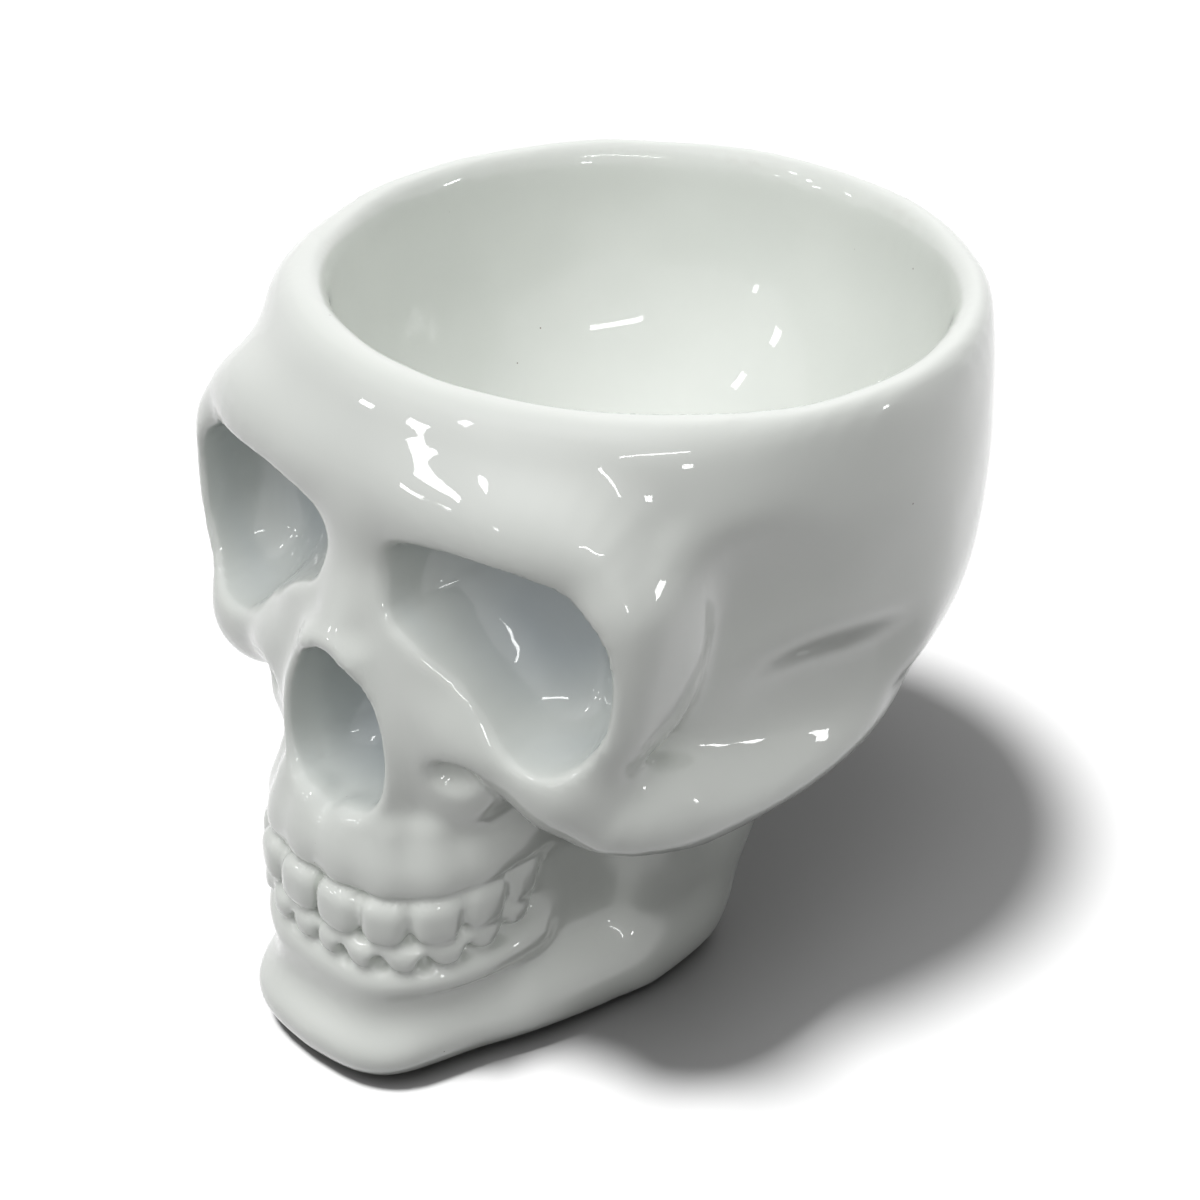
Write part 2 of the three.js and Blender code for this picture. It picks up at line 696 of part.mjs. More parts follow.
function solidOf(geometry) {
  geometry.deleteAttribute("normal");
  geometry.deleteAttribute("uv");
  const merged = mergeVertices(geometry.index ? geometry.toNonIndexed() : geometry);
  return solid(merged.attributes.position.array, new Uint32Array(merged.index.array));
}

function geometryOf(body) {
  const mesh = body.getMesh();
  const geometry = new THREE.BufferGeometry();
  geometry.setAttribute("position", new THREE.BufferAttribute(new Float32Array(mesh.vertProperties), 3));
  geometry.setIndex(new THREE.BufferAttribute(new Uint32Array(mesh.triVerts), 1));
  geometry.computeVertexNormals();
  return geometry;
}

// A turned solid about the vertical, from radii and heights
function turned(profile, facets) {
  const points = profile.map(([radius, height]) => new THREE.Vector2(radius, height));
  return new THREE.LatheGeometry(points, facets).rotateX(Math.PI / 2);
}

const liner_facets = 40;
const liner_rings = 9;
const round_facets = 32;

// One side of the bowl's wall, from the axis at the bottom up to its shoulder
function bowlProfile(outset) {
  return Array.from({ length: liner_rings + 1 }, (_, i) => {
    const turn = ((liner_rings - i) / liner_rings) * (Math.PI / 2);
    const radius = i === 0 ? 0 : (bowl_half_width + outset) * Math.cos(turn);
    return [radius, bowl_shoulder_height - (bowl_depth + outset) * Math.sin(turn)];
  });
}

// The mouth opens out to the crest of the rim in a quarter round.
function mouthProfile() {
  const rise = rim_height - bowl_shoulder_height;
  return [1, 2, 3].map((i) => {
    const turn = (i / 3) * (Math.PI / 2);
    return [
      bowl_half_width + liner_wall * (1 - Math.cos(turn)),
      bowl_shoulder_height + rise * Math.sin(turn),
    ];
  });
}

function ellipticBowl(profile) {
  return turned(profile, liner_facets)
    .scale(1, bowl_half_length / bowl_half_width, 1)
    .translate(0, bowl_setback, 0);
}

const linerGeometry = ellipticBowl([
  ...bowlProfile(liner_wall),
  ...mouthProfile().reverse(),
  ...bowlProfile(0).reverse(),
]);

const linerSeat = solidOf(
  ellipticBowl([
    ...bowlProfile(liner_wall + seam_gap),
    [bowl_half_width + liner_wall + seam_gap, rim_height + cut_overrun],
    [0, rim_height + cut_overrun],
  ]),
);

const floorBlock = solidOf(
  new THREE.BoxGeometry(widest * 3, face_reach * 3, cut_overrun * 2)
    .translate(0, 0, pad_thickness - cut_overrun),
);

const vent = solidOf(
  turned(
    [
      [0, -cut_overrun],
      [vent_recess_radius, -cut_overrun],
      [vent_recess_radius, pad_thickness + vent_recess_depth],
      [vent_radius, pad_thickness + vent_recess_depth],
      [vent_radius, pad_thickness + shell_wall + cut_overrun],
      [0, pad_thickness + shell_wall + cut_overrun],
    ],
    round_facets,
  ).translate(0, -vent_reach, 0),
);

// Only the one large hollow drains when the slip is poured out, and small pockets stay filled.
const hollow = surfaceOf(cavity, coarseGrid)
  .decompose()
  .reduce((largest, body) => (body.volume() > largest.volume() ? body : largest));

const sides = [1, -1];
const skin = [...sides.map((side) => pitSolid(socket, side)), pitSolid(nose)]
  .reduce((body, pit) => body.subtract(pit), surfaceOf(skull, fineGrid));
const toothed = sides
  .flatMap((side) => allTeeth.map((tooth) => toothSolid(tooth, side)))
  .reduce((body, tooth) => body.add(tooth), skin);

const shellSolid = toothed
  .subtract(hollow)
  .subtract(linerSeat)
  .subtract(floorBlock)
  .subtract(vent);

const flange_radius = vent_recess_radius - running_gap;
const flange_top = pad_thickness + vent_recess_depth - running_gap;
const neck_radius = vent_radius - running_gap;

const stopperGeometry = turned(
  [
    [0, flange_top - stopper_flange_thickness],
    [flange_radius, flange_top - stopper_flange_thickness],
    [flange_radius, flange_top],
    [neck_radius, flange_top],
    [neck_radius - stopper_taper, flange_top + stopper_length],
    [0, flange_top + stopper_length],
  ],
  round_facets,
);

const padGeometry = turned(
  [
    [0, 0],
    [pad_radius, 0],
    [pad_radius, pad_thickness - seam_gap],
    [0, pad_thickness - seam_gap],
  ],
  round_facets,
);

const root = new THREE.Group();

function add(name, geometry, material, x = 0, y = 0) {
  const mesh = new THREE.Mesh(geometry, new THREE.MeshStandardMaterial(material));
  mesh.name = name;
  mesh.position.set(x, y, 0);
  root.add(mesh);
  return mesh;
}

add("skull_shell", geometryOf(shellSolid), glaze);
add("bowl_liner", linerGeometry, liner_glaze);
add("vent_stopper", stopperGeometry, silicone, 0, -vent_reach);
pad_place_shares.forEach(([across, forward], i) =>
  add("foot_pad_" + (i + 1), padGeometry.clone(), felt, across * face_half_width, -forward * face_reach));

// The origin is on the floor under the middle of the skull's box.
const box = new THREE.Box3().setFromObject(root);
root.position.y = -(box.min.y + box.max.y) / 2;

export default root;
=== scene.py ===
import json
import math

import bpy
import numpy as np
from mathutils import Matrix, Vector

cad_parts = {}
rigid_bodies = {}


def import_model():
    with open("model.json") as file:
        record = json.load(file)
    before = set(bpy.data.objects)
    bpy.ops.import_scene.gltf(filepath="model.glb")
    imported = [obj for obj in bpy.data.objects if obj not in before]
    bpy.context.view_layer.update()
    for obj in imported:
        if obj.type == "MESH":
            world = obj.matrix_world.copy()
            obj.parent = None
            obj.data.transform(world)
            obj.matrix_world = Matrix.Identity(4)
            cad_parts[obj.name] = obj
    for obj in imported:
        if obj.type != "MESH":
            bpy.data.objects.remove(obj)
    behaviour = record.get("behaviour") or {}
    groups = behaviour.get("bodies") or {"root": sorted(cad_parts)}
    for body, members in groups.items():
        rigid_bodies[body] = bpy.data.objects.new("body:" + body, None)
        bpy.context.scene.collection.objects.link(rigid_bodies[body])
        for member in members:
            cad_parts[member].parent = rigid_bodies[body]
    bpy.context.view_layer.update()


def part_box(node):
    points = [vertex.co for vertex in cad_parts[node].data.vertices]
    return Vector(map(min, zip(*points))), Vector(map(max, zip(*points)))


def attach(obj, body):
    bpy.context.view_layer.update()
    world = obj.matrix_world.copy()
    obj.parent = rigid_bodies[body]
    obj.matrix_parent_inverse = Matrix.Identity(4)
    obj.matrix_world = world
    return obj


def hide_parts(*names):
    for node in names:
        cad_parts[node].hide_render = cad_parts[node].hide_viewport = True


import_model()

MM = 0.001

# Sizes that the frame gives
shell_low, shell_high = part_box("skull_shell")
liner_low, liner_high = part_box("bowl_liner")
stopper_low, stopper_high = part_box("vent_stopper")
rim_height = liner_high.z / MM
base_height = shell_low.z / MM
cranium_half_width = shell_high.x / MM

# The cranium: an egg round the bowl, cut off level at the rim
cranium_half_length = 62.2
cranium_equator_height = 86
cranium_upper_reach = 92
cranium_lower_reach = 49.5
cranium_setback = 3.2
egg_upper_power = 2.2
egg_lower_power = 2.5
egg_back_power = 2.02
egg_back_lean = 0.06
rim_rounding = 5.5

# The clay's middle lies this far in front of the frame's.
frame_shift = shell_high.y / MM - cranium_half_length - cranium_setback

# The vent in the flat base, plugged by the stopper
vent_y = (stopper_low.y + stopper_high.y) / 2 / MM - frame_shift
vent_radius = 8
recess_radius = 11
recess_top = 3.3
chamber_middle = 19.5
chamber_halves = (12.5, 17, 11.5)
chamber_squareness = 2.6

# The bowl and its lip
liner_wall = 2.8
bowl_half_width = liner_high.x / MM - liner_wall
liner_half_length = (liner_high.y - liner_low.y) / 2 / MM
bowl_half_length = liner_half_length * bowl_half_width / (bowl_half_width + liner_wall)
bowl_depth = 55
bowl_setback = 1
bowl_shoulder_height = 118
lip_rounding = 6.5

# The face: its tables of places are shares of these three
face_half_width = 50
face_reach = 80
face_height = 100

# How softly neighbouring masses run into each other
broad_blend = 9
soft_blend = 6
close_blend = 4
soft_edge = 2.4
crisp_blend = 1.6
tooth_blend = 1.5
gap_blend = 0.7
midline_softness = 1.2

# The pits: each outline as shares across and up, its depth, its lean per depth, and how full its walls are
socket_outline = (
    (0.14, 0.975), (0.28, 1.018), (0.55, 1.03), (0.72, 1.004), (0.84, 0.95), (0.875, 0.865), (0.85, 0.775),
    (0.74, 0.7), (0.58, 0.7), (0.42, 0.78), (0.28, 0.835), (0.15, 0.88),
)
socket_front = 0.8
socket_depth = 18
socket_slant = 0.28
socket_lean = (-0.06, 0.04)
socket_wall = 12.5
socket_fullness = 2.4
nose_top = 0.805
nose_side = (
    (0.08, 0.785), (0.146, 0.745), (0.192, 0.69), (0.208, 0.625), (0.196, 0.565), (0.14, 0.523),
    (0.06, 0.506),
)
nose_front = 0.9
nose_depth = 16.5
nose_lean = (0, 0.12)
nose_wall = 9
nose_fullness = 2.3

# Teeth, on a horseshoe line: how far forward its front is, its half width, and how far forward its ends are.
# The shares of the tooth widths go from the middle of the mouth outwards.
tooth_line = (72.4, 20.3, 46)
tooth_line_squareness = 0.7
upper_tooth_width = 8
upper_tooth_shares = (1.04, 0.94, 1, 1.02, 0.9)
upper_tooth_middle = 34.1
upper_tooth_half_height = 4.7
upper_tooth_depth = 3.6
upper_tooth_squareness = 3
upper_tooth_taper = 0.06
lower_tooth_width = 6.4
lower_tooth_shares = (0.9, 0.94, 1.03, 1.03, 1.03, 1.0)
lower_tooth_middle = 26.6
lower_tooth_half_height = 2.8
lower_tooth_depth = 3.1
lower_tooth_squareness = 2.6
lower_tooth_taper = 0.3
tooth_swell = 0.52
tooth_taper_end = 1.2
tooth_rise = 0.11
gum_groove = 0.5
root_foot = (1.3, 41)
root_end = (2.4, 50)
root_radii = (3.0, 2.0)
gap_halves = (1.5, 3.2, 2.1)
gap_drop = 1.4
gap_front = 2

# Slow swells of the hand-sponged surface
swell_count = 12
swell_lengths = (11, 30)
swell_height = 0.022

# Where the glaze drew back from the bowl's edge and was wiped off the foot, and the painted shade in the
# pits, partly pooled glaze
thin_glaze_ring = 1.0
thin_glaze_drop = 2.2
thin_glaze_reach = 1.3
thin_glaze_share = 0.4
pooled_shade_depth = 13
pooled_shade_share = 0.9
pooled_shade_reach = 3
pooled_shade_edge = 2
wiped_height = 0.5
wiped_edge = 0.4

# The grid of clay in X, Y and Z: its start, then the end and step of each stretch, finest at the teeth
grid_stretches = (
    (0, ((25, 0.66), (46, 1.26), (62, 1.7))),
    (-84, ((-48, 0.7), (68, 1.65))),
    (-1, ((17, 1.25), (41, 0.64), (100, 1.26), (126, 1.4))),
)
far_away = 30.0

# How far past its box a form is worked into the clay, and the cranium's box past its sizes
form_margin = 3
room_for_lean = 8
room_above_rim = 60


def srgb(code):
    """A hex colour as linear red, green, blue and alpha."""
    parts = [int(code[i:i + 2], 16) / 255 for i in (1, 3, 5)]
    return [c / 12.92 if c <= 0.04045 else ((c + 0.055) / 1.055) ** 2.4 for c in parts] + [1.0]


# Clay: forms are a distance function with the box it fills, all in millimetres

def soft_min(a, b, blend):
    near = np.maximum(blend - np.abs(a - b), 0) / blend
    return np.minimum(a, b) - near * near * blend / 4


def soft_max(a, b, blend):
    return -soft_min(-a, -b, blend)


def place(shares):
    across, forward, up = shares
    return np.array([across * face_half_width, -forward * face_reach, up * face_height])


def outward(x):
    """The face is the same on both sides, and this keeps its middle smooth."""
    return np.sqrt(x * x + midline_softness ** 2)


def distance_from(shape, shares, halves):
    """Distance to a rounded mass, from how far out a point lies in it as shares of its half sizes."""
    out = np.sqrt(sum(s * s for s in shares))
    slope = np.sqrt(sum((s / h) ** 2 for s, h in zip(shares, halves)))
    return (shape - 1) * out / np.maximum(slope, 1e-6)


def blob(centre, halves, power=2.0, turn=0.0):
    """A rounded mass with its three half sizes, turned about the vertical."""
    cos, sin = math.cos(turn), math.sin(turn)

    def distance(x, y, z):
        dx, dy = x - centre[0], y - centre[1]
        u = (dx * cos + dy * sin) / halves[0]
        v = (dy * cos - dx * sin) / halves[1]
        w = (z - centre[2]) / halves[2]
        shape = (np.abs(u) ** power + np.abs(v) ** power + np.abs(w) ** power) ** (1 / power)
        return distance_from(shape, (u, v, w), halves)

    across, forward, up = halves
    reach = np.array([np.hypot(across * cos, forward * sin), np.hypot(across * sin, forward * cos), up])
    return distance, np.array(centre) - reach, np.array(centre) + reach


def face_blob(shares, halves, power=2.0, turn=0.0):
    return blob(place(shares), halves, power, turn)


def curve(points, closed=False, parts=4):
    """A smooth line through points, with some more of them between each two."""
    points = np.asarray(points, float)
    if closed:
        ends = (points[-1:], points, points[:2])
    else:
        ends = (2 * points[:1] - points[1:2], points, 2 * points[-1:] - points[-2:-1])
    line = np.concatenate(ends)
    a, b, c, d = (line[n:len(line) - 3 + n, None] for n in range(4))
    t = (np.arange(parts) / parts)[None, :, None]
    bend = (2 * b + (c - a) * t + (2 * a - 5 * b + 4 * c - d) * t ** 2 + (3 * b - a - 3 * c + d) * t ** 3) / 2
    bend = bend.reshape(-1, points.shape[1])
    return bend if closed else np.concatenate([bend, points[-1:]])


def limb(points, radii):
    """A round limb of changing thickness along a smooth line through points."""
    line = curve(np.column_stack([points, radii]))
    points, radii = line[:, :3], line[:, 3]

    def distance(x, y, z):
        nearest = None
        for a, b, thick, thin in zip(points, points[1:], radii, radii[1:]):
            along = b - a
            u, v, w = x - a[0], y - a[1], z - a[2]
            t = (u * along[0] + v * along[1] + w * along[2]) / (along @ along)
            t = np.clip(t, 0, 1).astype(np.float32)
            off = np.sqrt((u - t * along[0]) ** 2 + (v - t * along[1]) ** 2 + (w - t * along[2]) ** 2)
            off = off - thick - t * (thin - thick)
            nearest = off if nearest is None else np.minimum(nearest, off)
        return nearest

    thickest = max(radii)
    return distance, np.min(points, 0) - thickest, np.max(points, 0) + thickest


def face_limb(shares, radius, radius_shares):
    return limb([place(s) for s in shares], [radius * s for s in radius_shares])


def outline_distance(points):
    """Distance to a closed outline in X and Z, negative inside."""
    def distance(x, z):
        nearest, side = None, None
        for a, b in zip(points, np.roll(points, 1, 0)):
            ex, ez = b - a
            wx, wz = x - a[0], z - a[1]
            t = np.clip((wx * ex + wz * ez) / (ex * ex + ez * ez), 0, 1)
            off = (wx - ex * t) ** 2 + (wz - ez * t) ** 2
            above, below, left = z >= a[1], z < b[1], ex * wz > ez * wx
            flip = np.where((above & below & left) | (~above & ~below & ~left), -1.0, 1.0)
            nearest = off if nearest is None else np.minimum(nearest, off)
            side = flip if side is None else side * flip
        return side * np.sqrt(nearest)
    return distance


def pit(outline_shares, front, depth, slant, lean, across, fullness):
    """A pit sunk into the face like a bowl under its outline, leaning over with depth."""
    outline = curve(np.array(outline_shares) * (face_half_width, face_height), closed=True, parts=3)
    mouth = outline_distance(outline)
    middle = outline.mean(0)
    front_y = -front * face_reach

    def distance(x, y, z):
        sunk = y - front_y - slant * (x - middle[0])
        deep = np.maximum(sunk, 0)
        wall = mouth(x - lean[0] * deep, z - lean[1] * deep)
        ring = np.maximum(1 + wall / across, 0)
        section = (ring ** fullness + (deep / depth) ** fullness) ** (1 / fullness)
        return (section - 1) * across

    low = np.array([outline[:, 0].min(), front_y - face_reach / 4, outline[:, 1].min() - depth / 2])
    high = np.array([outline[:, 0].max(), front_y + depth * 2, outline[:, 1].max() + depth / 4])
    return distance, low, high


class Clay:
    """One half of a symmetric piece on a grid, where each point holds its distance to the surface."""

    def __init__(self, stretches):
        self.axes = [self.axis(start, parts) for start, parts in stretches]
        self.field = np.full([len(a) for a in self.axes], far_away, np.float32)

    @staticmethod
    def axis(start, parts):
        line = [start]
        for end, step in parts:
            count = math.ceil((end - line[-1]) / step)
            line += list(np.linspace(line[-1], end, count + 1)[1:])
        return np.array(line, np.float32)

    def work(self, form, blend, joined, across):
        distance, low, high = form
        reach = blend + form_margin
        cut = tuple(
            slice(*np.searchsorted(axis, (a - reach, b + reach)))
            for axis, a, b in zip(self.axes, low, high)
        )
        x, y, z = np.ix_(*(axis[part] for axis, part in zip(self.axes, cut)))
        clay = self.field[cut]
        if clay.size:
            self.field[cut] = joined(clay, distance(across(x), y, z).astype(np.float32), blend)

    def lay(self, form, blend, across=outward):
        self.work(form, blend, soft_min, across)

    def press(self, form, blend, across=outward):
        self.work(form, blend, lambda clay, hollow, soft: soft_max(clay, -hollow, soft), across)


def cranium():
    """The egg of the cranium leans forwards as it rises past its equator."""
    def distance(x, y, z):
        rise = z - cranium_equator_height
        upper = rise > 0
        power = np.where(upper, egg_upper_power, egg_lower_power)
        reach = np.where(upper, cranium_upper_reach, cranium_lower_reach)
        centre = cranium_setback - egg_back_lean * np.maximum(rise, 0)
        u, v, w = x / cranium_half_width, (y - centre) / cranium_half_length, np.abs(rise) / reach
        level = np.where(v > 0, egg_back_power, 2)
        ring = (np.abs(u) ** level + np.abs(v) ** level) ** (1 / level)
        shape = (ring ** power + w ** power) ** (1 / power)
        return distance_from(shape, (u, v, w), (cranium_half_width, cranium_half_length, reach))

    long_half = cranium_half_length + room_for_lean
    low = np.array([-cranium_half_width, -long_half, cranium_equator_height - cranium_lower_reach])
    high = np.array([cranium_half_width, long_half, rim_height + room_above_rim])
    return distance, low, high


def horseshoe(shares=(1, 1, 1)):
    """A line through the teeth, from the middle of the front to the back on one side."""
    reach, half_width, back = (size * share for size, share in zip(tooth_line, shares))

    def at(t):
        turn = t * math.pi / 2
        across = np.sin(turn) ** tooth_line_squareness
        forward = np.cos(turn) ** tooth_line_squareness
        return np.stack([half_width * across, -back - (reach - back) * forward], -1)
    return at


def horseshoe_limb(shares, height, radius):
    points = [(*xy, height) for xy in horseshoe(shares)(np.linspace(0, 1, 9))]
    return limb(points, [radius] * len(points))


def tooth_places(widths):
    """The middle, turn and width of each tooth along the line, from the middle of the mouth outwards."""
    line = horseshoe()(np.linspace(0, 1, 401))
    run = np.concatenate([[0], np.cumsum(np.hypot(*np.diff(line, axis=0).T))])

    def at(length):
        return np.array([np.interp(length, run, line[:, 0]), np.interp(length, run, line[:, 1])])

    middles = np.cumsum(widths) - np.array(widths) / 2
    for width, middle in zip(widths, middles):
        ahead = at(middle + width / 5) - at(middle - width / 5)
        yield at(middle), math.atan2(ahead[1], ahead[0]), width


def skull_clay():
    """The solid skull before its pits, teeth and bowl: masses laid on and hollows pressed in."""
    clay = Clay(grid_stretches)
    clay.lay(cranium(), crisp_blend)
    forehead = face_blob((0, 0.31, 1.06), (49, 38, 31))
    clay.lay(forehead, broad_blend)
    muzzle = face_blob((0, 0.55, 0.56), (24.5, 26, 26))
    clay.lay(muzzle, broad_blend)
    temple = face_blob((1.11, 0.41, 0.85), (9.5, 22, 20), turn=-0.5)
    clay.press(temple, soft_blend)
    behind_the_temple = face_blob((1.25, 0.19, 0.79), (7, 26, 18), turn=-0.2)
    clay.press(behind_the_temple, broad_blend)
    cheekbone = ((0.66, 0.65, 0.63), (0.8, 0.575, 0.585), (0.88, 0.39, 0.565), (0.92, 0.1, 0.55),
                 (0.885, -0.13, 0.55), (0.75, -0.29, 0.57))
    clay.lay(face_limb(cheekbone, 8.5, (1, 1, 1, 0.91, 0.8, 0.58)), close_blend)
    round_the_socket = face_blob((0.47, 0.57, 0.86), (21, 17, 19))
    clay.lay(round_the_socket, soft_blend)
    brow = ((0, 0.725, 1.05), (0.26, 0.731, 1.05), (0.52, 0.71, 1.06), (0.71, 0.665, 1.04), (0.8, 0.64, 0.97))
    clay.lay(face_limb(brow, 7, (1, 1, 1, 0.86, 0.74)), broad_blend)
    orbit_side = ((0.81, 0.655, 0.97), (0.83, 0.66, 0.86), (0.79, 0.65, 0.755), (0.66, 0.65, 0.665))
    clay.lay(face_limb(orbit_side, 5, (0.9, 0.95, 1.2, 1.4)), soft_blend)
    cheek_front = ((0.18, 0.77, 0.75), (0.42, 0.738, 0.69), (0.68, 0.675, 0.665))
    clay.lay(face_limb(cheek_front, 5.6, (0.85, 0.94, 1.07)), soft_blend)
    beside_the_nose = face_blob((0.24, 0.665, 0.7), (11.5, 10, 16))
    clay.lay(beside_the_nose, broad_blend)
    nose_bridge = ((0, 0.74, 0.98), (0, 0.794, 0.88), (0, 0.844, 0.81))
    clay.lay(face_limb(nose_bridge, 5, (1.2, 1.05, 0.9)), soft_blend)
    nose_rim = ((0.07, 0.863, 0.785), (0.15, 0.856, 0.69), (0.17, 0.85, 0.59), (0.13, 0.831, 0.5),
                (0, 0.838, 0.47))
    clay.lay(face_limb(nose_rim, 3.6, (0.9, 0.95, 1, 1.15, 1.25)), close_blend)
    upper_gum = horseshoe_limb((0.955, 0.9, 1), 42.5, 4.6)
    clay.lay(upper_gum, broad_blend)
    inside_the_jaw = face_blob((0, 0.5, 0.2), (20, 31, 24), 3.4)
    clay.lay(inside_the_jaw, soft_blend)
    lower_ledge = horseshoe_limb((0.985, 1.03, 1), 20.8, 3)
    clay.lay(lower_ledge, close_blend)
    jaw = ((0, 0.835, 0.09), (0.16, 0.81, 0.087), (0.3, 0.7, 0.083), (0.42, 0.537, 0.078),
           (0.49, 0.338, 0.07), (0.49, 0.17, 0.07), (0.455, 0.1, 0.08))
    clay.lay(face_limb(jaw, 8.4, (1.04, 1.02, 0.96, 0.95, 0.95, 0.95, 0.9)), soft_blend)
    chin = face_blob((0, 0.825, 0.1), (18, 12.6, 10.8), 2.6)
    clay.lay(chin, soft_blend)
    jaw_branch = face_blob((0.52, 0.17, 0.32), (6.5, 14.5, 38), 3.2)
    clay.lay(jaw_branch, soft_blend)
    throat = face_blob((0, 0.325, 0.36), (25, 28, 40))
    clay.lay(throat, broad_blend)
    branch_edge = ((0.48, 0.09, 0.12), (0.53, 0.03, 0.26), (0.57, -0.04, 0.42))
    clay.lay(face_limb(branch_edge, 7, (0.93, 1, 1)), soft_blend)
    under_the_cheek = face_blob((0.78, 0.575, 0.38), (13, 11, 14))
    clay.press(under_the_cheek, soft_blend)
    beside_the_bridge = face_blob((0.16, 0.775, 0.82), (7, 4, 9))
    clay.lay(beside_the_bridge, soft_blend)
    beside_the_nose_rim = face_blob((0.27, 0.765, 0.665), (8, 4.2, 8))
    clay.lay(beside_the_nose_rim, soft_blend)
    over_the_teeth = face_blob((0.37, 0.738, 0.575), (3.6, 3, 3.6))
    clay.lay(over_the_teeth, soft_blend)
    cheek_dimple = face_blob((0.42, 0.815, 0.635), (3.8, 3.8, 2.8))
    clay.press(cheek_dimple, soft_edge)
    orbit_back = face_blob((0.84, 0.54, 0.88), (4, 7, 16))
    clay.lay(orbit_back, soft_blend)
    over_the_arch = ((1.13, 0.38, 0.695), (1.175, 0.28, 0.69), (1.22, 0.165, 0.685), (1.265, 0.04, 0.685))
    clay.press(face_limb(over_the_arch, 12.5, (0.85, 1, 1, 0.94)), soft_blend)
    lip_hollow = ((0, 0.99, 0.145), (0.24, 0.97, 0.145), (0.42, 0.865, 0.15), (0.54, 0.7, 0.155))
    clay.press(face_limb(lip_hollow, 3.6, (1, 1, 0.95, 0.84)), soft_blend)
    return clay


def sockets_and_nose(clay):
    """Both eye sockets and the nose hollow."""
    socket = pit(
        socket_outline, socket_front, socket_depth, socket_slant, socket_lean, socket_wall, socket_fullness)
    clay.press(socket, crisp_blend)
    far_side = tuple((-across, up) for across, up in nose_side[::-1])
    nose_outline = ((0, nose_top), *nose_side, *far_side)
    clay.press(pit(nose_outline, nose_front, nose_depth, 0, nose_lean, nose_wall, nose_fullness), soft_edge)


def tooth(xy, turn, width, height, half_height, depth, power, taper):
    """A tooth like a small pillow, its width changing with height."""
    halves = (width * tooth_swell, depth, half_height)
    distance, low, high = blob((*xy, height), halves, power, turn)
    cos, sin = math.cos(turn), math.sin(turn)

    def tapered(x, y, z):
        dx, dy = x - xy[0], y - xy[1]
        along = dx * cos + dy * sin
        rise = np.clip((z - height) / half_height, -tooth_taper_end, tooth_taper_end)
        shift = along * (1 / (1 + taper * rise) - 1)
        return distance(x + shift * cos, y + shift * sin, z)
    return tapered, low - 1, high + 1


def grown(form, by):
    distance, low, high = form
    return lambda x, y, z: distance(x, y, z) - by, low - by, high + by


def moved_in(xy, turn, by):
    """A place on the tooth line, moved towards the inside of the mouth."""
    return np.array([xy[0] - by * math.sin(turn), xy[1] + by * math.cos(turn)])


def teeth(clay):
    """Upper teeth in grooves under their roots, and lower ones with gaps between them over a ledge."""
    uppers = []
    for n, (xy, turn, width) in enumerate(tooth_places([upper_tooth_width * s for s in upper_tooth_shares])):
        root = [(*moved_in(xy, turn, deep), height) for deep, height in (root_foot, root_end)]
        clay.lay(limb(root, root_radii), close_blend, np.abs)
        middle = upper_tooth_middle + tooth_rise * n ** 2
        uppers.append(tooth(xy, turn, width, middle, upper_tooth_half_height, upper_tooth_depth,
                            upper_tooth_squareness, upper_tooth_taper))
    for form in uppers:
        clay.press(grown(form, gum_groove), tooth_blend, np.abs)
    for form in uppers:
        clay.lay(form, tooth_blend, np.abs)
    for n, (xy, turn, width) in enumerate(tooth_places([lower_tooth_width * s for s in lower_tooth_shares])):
        middle = lower_tooth_middle + tooth_rise * n ** 2
        lower = tooth(xy, turn, width, middle, lower_tooth_half_height, lower_tooth_depth,
                      lower_tooth_squareness, lower_tooth_taper)
        clay.lay(lower, tooth_blend, np.abs)
        gap = moved_in(xy, turn, -gap_front) + width / 2 * np.array([math.cos(turn), math.sin(turn)])
        clay.press(blob((*gap, middle - gap_drop), gap_halves, turn=turn), gap_blend, np.abs)


def rim_and_bowl(clay):
    """The skull is cut off level at a rounded rim, and the bowl is sunk into it."""
    x, y, z = np.ix_(*clay.axes)
    clay.field = soft_max(clay.field, z - rim_height, rim_rounding)
    below = np.minimum(z - bowl_shoulder_height, 0)
    shares = (x / bowl_half_width, (y - bowl_setback) / bowl_half_length, below / bowl_depth)
    shape = np.sqrt(sum(s * s for s in shares))
    bowl = distance_from(shape, shares, (bowl_half_width, bowl_half_length, bowl_depth))
    clay.field = soft_max(clay.field, -bowl, lip_rounding).astype(np.float32)


def base(clay):
    """The flat base, with the vent's recess, its hole and the drained chamber over it."""
    x, y, z = np.ix_(*clay.axes)
    clay.field = soft_max(clay.field, base_height - z, crisp_blend).astype(np.float32)
    off_axis = np.hypot(x, y - vent_y)
    recess = np.maximum(off_axis - recess_radius, z - recess_top)
    hole = np.maximum(off_axis - vent_radius, z - chamber_middle)
    clay.field = np.maximum(clay.field, -np.minimum(recess, hole)).astype(np.float32)
    clay.press(blob((0, vent_y, chamber_middle), chamber_halves, chamber_squareness), tooth_blend)


def hand_finish(clay):
    """Sponging and glaze leave slow swells on the surface, which break up the lamps in it."""
    chance = np.random.default_rng(7)
    x, y, z = np.ix_(*clay.axes)
    for _ in range(swell_count):
        wave = chance.normal(size=3)
        wave *= 2 * math.pi / chance.uniform(*swell_lengths) / np.linalg.norm(wave)
        start = chance.uniform(0, 2 * math.pi)
        swell = swell_height * np.sin(wave[0] * x + wave[1] * y + wave[2] * z + start)
        clay.field += swell.astype(np.float32)


# Meshes

